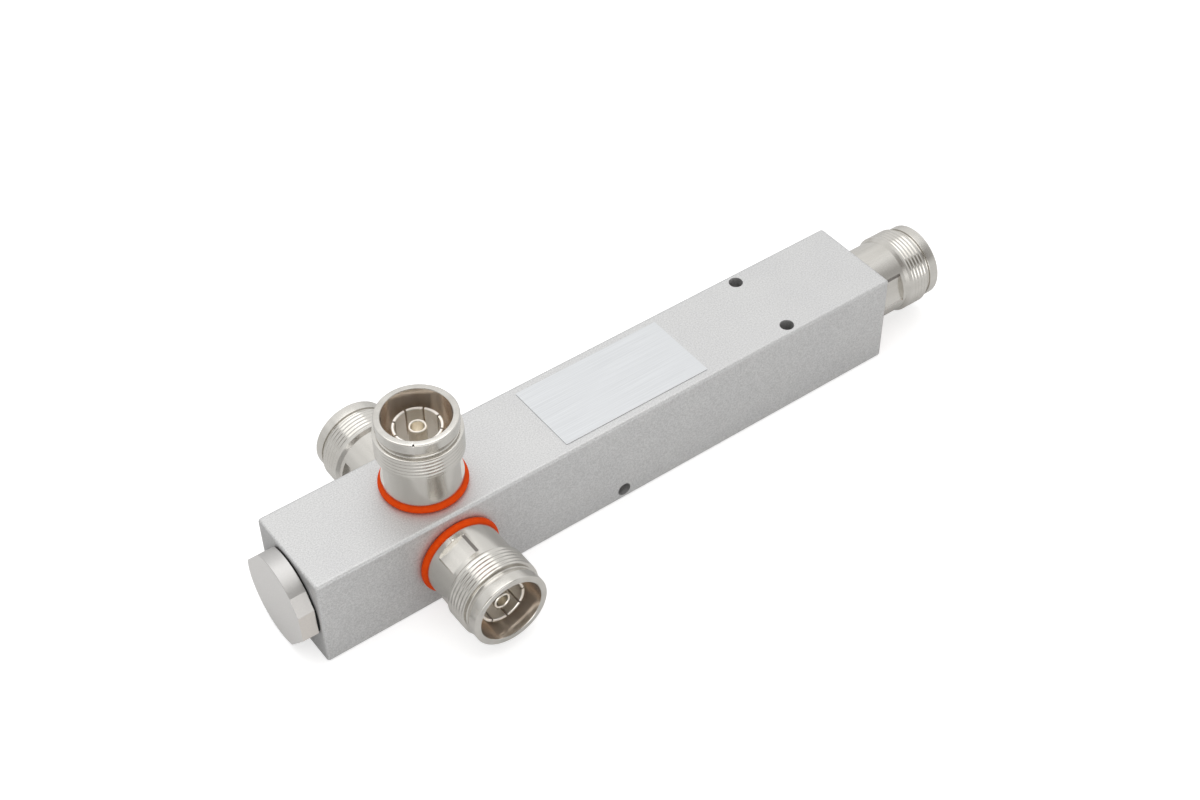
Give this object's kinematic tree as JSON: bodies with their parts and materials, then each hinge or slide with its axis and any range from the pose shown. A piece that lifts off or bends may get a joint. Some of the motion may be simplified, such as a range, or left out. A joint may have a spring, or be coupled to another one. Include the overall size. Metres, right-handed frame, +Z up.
{
  "type": "rf power splitter",
  "caption": "Coaxial air-line power splitter: a square metal bar with an input socket on its end and output sockets near the plugged end.",
  "frame": {"origin": "centre of the bar's bottom face, on which the splitter lies", "axes": "+X along the bar from the plugged end to the input socket, +Z up through the top output socket, -Y towards the front output socket"},
  "size_m": [0.1873, 0.0668, 0.0459],
  "materials": {
    "bar_metal": "fine matte, blasted",
    "plug_metal": "satin, turned",
    "plated_metal": "bright white plating",
    "contact_metal": "bright plating",
    "rod_metal": "turned",
    "seal_rubber": "matte",
    "gasket_rubber": "matte black",
    "insulator_plastic": "matte",
    "label_foil": "brushed foil"
  },
  "bodies": {
    "root": {"bar_body": "bar_metal", "end_plug": "plug_metal", "end_plug_seal": "gasket_rubber", "rating_label": "label_foil", "inner_conductor": "rod_metal", "rod_support": "insulator_plastic", "input_socket_shell": "plated_metal", "input_seal_ring": "seal_rubber", "input_spring_sleeve": "plated_metal", "input_centre_contact": "contact_metal", "input_bead": "insulator_plastic", "top_socket_shell": "plated_metal", "top_seal_ring": "seal_rubber", "top_spring_sleeve": "plated_metal", "top_centre_contact": "contact_metal", "top_bead": "insulator_plastic", "front_socket_shell": "plated_metal", "front_seal_ring": "seal_rubber", "front_spring_sleeve": "plated_metal", "front_centre_contact": "contact_metal", "front_bead": "insulator_plastic", "back_socket_shell": "plated_metal", "back_seal_ring": "seal_rubber", "back_spring_sleeve": "plated_metal", "back_centre_contact": "contact_metal", "back_bead": "insulator_plastic"}
  },
  "joints": []
}
